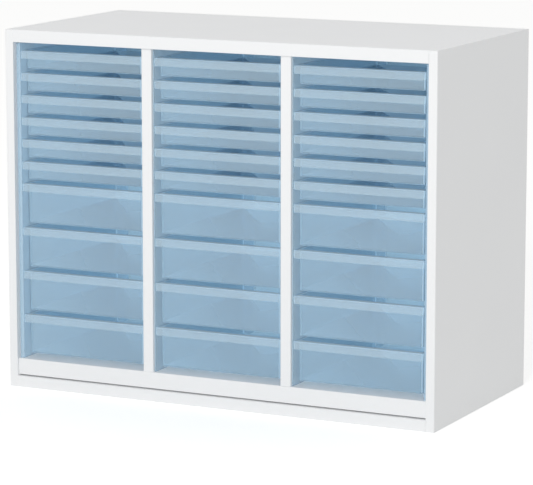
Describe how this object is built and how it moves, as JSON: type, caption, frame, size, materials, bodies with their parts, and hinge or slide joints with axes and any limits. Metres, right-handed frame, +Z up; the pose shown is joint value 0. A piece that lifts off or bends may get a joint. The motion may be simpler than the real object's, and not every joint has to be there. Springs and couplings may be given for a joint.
{
  "type": "tray cabinet",
  "caption": "Free-standing white steel cabinet with partitions and columns of translucent pull-out trays on moulded ledges, shallow trays above deep ones.",
  "frame": {"origin": "centre of the base on the floor", "axes": "+X to the right as seen from the front, +Y to the rear, +Z up; the trays pull out along -Y"},
  "size_m": [0.9, 0.45, 0.7],
  "materials": {
    "powder_coated_steel": "white powder coat, satin",
    "guide_plastic": "moulded, translucent light blue",
    "tray_plastic": "moulded, translucent light blue, glossy"
  },
  "bodies": {
    "cabinet": {"top_panel": "powder_coated_steel", "bottom_shelf": "powder_coated_steel", "back_panel": "powder_coated_steel", "base_front_rail": "powder_coated_steel", "base_rear_rail": "powder_coated_steel", "left_side_panel": "powder_coated_steel", "left_front_upright": "powder_coated_steel", "left_rear_upright": "powder_coated_steel", "right_side_panel": "powder_coated_steel", "right_front_upright": "powder_coated_steel", "right_rear_upright": "powder_coated_steel", "partition_1": "powder_coated_steel", "partition_2": "powder_coated_steel", "column_1_left_guide": "guide_plastic", "column_1_right_guide": "guide_plastic", "column_2_left_guide": "guide_plastic", "column_2_right_guide": "guide_plastic", "column_3_left_guide": "guide_plastic", "column_3_right_guide": "guide_plastic"},
    "column_1_shallow_tray_01": {"column_1_shallow_tray_01": "tray_plastic"},
    "column_1_shallow_tray_02": {"column_1_shallow_tray_02": "tray_plastic"},
    "column_1_shallow_tray_03": {"column_1_shallow_tray_03": "tray_plastic"},
    "column_1_shallow_tray_04": {"column_1_shallow_tray_04": "tray_plastic"},
    "column_1_shallow_tray_05": {"column_1_shallow_tray_05": "tray_plastic"},
    "column_1_shallow_tray_06": {"column_1_shallow_tray_06": "tray_plastic"},
    "column_1_deep_tray_07": {"column_1_deep_tray_07": "tray_plastic"},
    "column_1_deep_tray_08": {"column_1_deep_tray_08": "tray_plastic"},
    "column_1_deep_tray_09": {"column_1_deep_tray_09": "tray_plastic"},
    "column_1_deep_tray_10": {"column_1_deep_tray_10": "tray_plastic"},
    "column_2_shallow_tray_01": {"column_2_shallow_tray_01": "tray_plastic"},
    "column_2_shallow_tray_02": {"column_2_shallow_tray_02": "tray_plastic"},
    "column_2_shallow_tray_03": {"column_2_shallow_tray_03": "tray_plastic"},
    "column_2_shallow_tray_04": {"column_2_shallow_tray_04": "tray_plastic"},
    "column_2_shallow_tray_05": {"column_2_shallow_tray_05": "tray_plastic"},
    "column_2_shallow_tray_06": {"column_2_shallow_tray_06": "tray_plastic"},
    "column_2_deep_tray_07": {"column_2_deep_tray_07": "tray_plastic"},
    "column_2_deep_tray_08": {"column_2_deep_tray_08": "tray_plastic"},
    "column_2_deep_tray_09": {"column_2_deep_tray_09": "tray_plastic"},
    "column_2_deep_tray_10": {"column_2_deep_tray_10": "tray_plastic"},
    "column_3_shallow_tray_01": {"column_3_shallow_tray_01": "tray_plastic"},
    "column_3_shallow_tray_02": {"column_3_shallow_tray_02": "tray_plastic"},
    "column_3_shallow_tray_03": {"column_3_shallow_tray_03": "tray_plastic"},
    "column_3_shallow_tray_04": {"column_3_shallow_tray_04": "tray_plastic"},
    "column_3_shallow_tray_05": {"column_3_shallow_tray_05": "tray_plastic"},
    "column_3_shallow_tray_06": {"column_3_shallow_tray_06": "tray_plastic"},
    "column_3_deep_tray_07": {"column_3_deep_tray_07": "tray_plastic"},
    "column_3_deep_tray_08": {"column_3_deep_tray_08": "tray_plastic"},
    "column_3_deep_tray_09": {"column_3_deep_tray_09": "tray_plastic"},
    "column_3_deep_tray_10": {"column_3_deep_tray_10": "tray_plastic"}
  },
  "joints": [
    {"name": "column_1_shallow_tray_01_slide", "type": "slide", "parent": "cabinet", "child": "column_1_shallow_tray_01", "axis": [0, -1, 0], "range_m": [0, 0.3]},
    {"name": "column_1_shallow_tray_02_slide", "type": "slide", "parent": "cabinet", "child": "column_1_shallow_tray_02", "axis": [0, -1, 0], "range_m": [0, 0.3]},
    {"name": "column_1_shallow_tray_03_slide", "type": "slide", "parent": "cabinet", "child": "column_1_shallow_tray_03", "axis": [0, -1, 0], "range_m": [0, 0.3]},
    {"name": "column_1_shallow_tray_04_slide", "type": "slide", "parent": "cabinet", "child": "column_1_shallow_tray_04", "axis": [0, -1, 0], "range_m": [0, 0.3]},
    {"name": "column_1_shallow_tray_05_slide", "type": "slide", "parent": "cabinet", "child": "column_1_shallow_tray_05", "axis": [0, -1, 0], "range_m": [0, 0.3]},
    {"name": "column_1_shallow_tray_06_slide", "type": "slide", "parent": "cabinet", "child": "column_1_shallow_tray_06", "axis": [0, -1, 0], "range_m": [0, 0.3]},
    {"name": "column_1_deep_tray_07_slide", "type": "slide", "parent": "cabinet", "child": "column_1_deep_tray_07", "axis": [0, -1, 0], "range_m": [0, 0.3]},
    {"name": "column_1_deep_tray_08_slide", "type": "slide", "parent": "cabinet", "child": "column_1_deep_tray_08", "axis": [0, -1, 0], "range_m": [0, 0.3]},
    {"name": "column_1_deep_tray_09_slide", "type": "slide", "parent": "cabinet", "child": "column_1_deep_tray_09", "axis": [0, -1, 0], "range_m": [0, 0.3]},
    {"name": "column_1_deep_tray_10_slide", "type": "slide", "parent": "cabinet", "child": "column_1_deep_tray_10", "axis": [0, -1, 0], "range_m": [0, 0.3]},
    {"name": "column_2_shallow_tray_01_slide", "type": "slide", "parent": "cabinet", "child": "column_2_shallow_tray_01", "axis": [0, -1, 0], "range_m": [0, 0.3]},
    {"name": "column_2_shallow_tray_02_slide", "type": "slide", "parent": "cabinet", "child": "column_2_shallow_tray_02", "axis": [0, -1, 0], "range_m": [0, 0.3]},
    {"name": "column_2_shallow_tray_03_slide", "type": "slide", "parent": "cabinet", "child": "column_2_shallow_tray_03", "axis": [0, -1, 0], "range_m": [0, 0.3]},
    {"name": "column_2_shallow_tray_04_slide", "type": "slide", "parent": "cabinet", "child": "column_2_shallow_tray_04", "axis": [0, -1, 0], "range_m": [0, 0.3]},
    {"name": "column_2_shallow_tray_05_slide", "type": "slide", "parent": "cabinet", "child": "column_2_shallow_tray_05", "axis": [0, -1, 0], "range_m": [0, 0.3]},
    {"name": "column_2_shallow_tray_06_slide", "type": "slide", "parent": "cabinet", "child": "column_2_shallow_tray_06", "axis": [0, -1, 0], "range_m": [0, 0.3]},
    {"name": "column_2_deep_tray_07_slide", "type": "slide", "parent": "cabinet", "child": "column_2_deep_tray_07", "axis": [0, -1, 0], "range_m": [0, 0.3]},
    {"name": "column_2_deep_tray_08_slide", "type": "slide", "parent": "cabinet", "child": "column_2_deep_tray_08", "axis": [0, -1, 0], "range_m": [0, 0.3]},
    {"name": "column_2_deep_tray_09_slide", "type": "slide", "parent": "cabinet", "child": "column_2_deep_tray_09", "axis": [0, -1, 0], "range_m": [0, 0.3]},
    {"name": "column_2_deep_tray_10_slide", "type": "slide", "parent": "cabinet", "child": "column_2_deep_tray_10", "axis": [0, -1, 0], "range_m": [0, 0.3]},
    {"name": "column_3_shallow_tray_01_slide", "type": "slide", "parent": "cabinet", "child": "column_3_shallow_tray_01", "axis": [0, -1, 0], "range_m": [0, 0.3]},
    {"name": "column_3_shallow_tray_02_slide", "type": "slide", "parent": "cabinet", "child": "column_3_shallow_tray_02", "axis": [0, -1, 0], "range_m": [0, 0.3]},
    {"name": "column_3_shallow_tray_03_slide", "type": "slide", "parent": "cabinet", "child": "column_3_shallow_tray_03", "axis": [0, -1, 0], "range_m": [0, 0.3]},
    {"name": "column_3_shallow_tray_04_slide", "type": "slide", "parent": "cabinet", "child": "column_3_shallow_tray_04", "axis": [0, -1, 0], "range_m": [0, 0.3]},
    {"name": "column_3_shallow_tray_05_slide", "type": "slide", "parent": "cabinet", "child": "column_3_shallow_tray_05", "axis": [0, -1, 0], "range_m": [0, 0.3]},
    {"name": "column_3_shallow_tray_06_slide", "type": "slide", "parent": "cabinet", "child": "column_3_shallow_tray_06", "axis": [0, -1, 0], "range_m": [0, 0.3]},
    {"name": "column_3_deep_tray_07_slide", "type": "slide", "parent": "cabinet", "child": "column_3_deep_tray_07", "axis": [0, -1, 0], "range_m": [0, 0.3]},
    {"name": "column_3_deep_tray_08_slide", "type": "slide", "parent": "cabinet", "child": "column_3_deep_tray_08", "axis": [0, -1, 0], "range_m": [0, 0.3]},
    {"name": "column_3_deep_tray_09_slide", "type": "slide", "parent": "cabinet", "child": "column_3_deep_tray_09", "axis": [0, -1, 0], "range_m": [0, 0.3]},
    {"name": "column_3_deep_tray_10_slide", "type": "slide", "parent": "cabinet", "child": "column_3_deep_tray_10", "axis": [0, -1, 0], "range_m": [0, 0.3]}
  ]
}
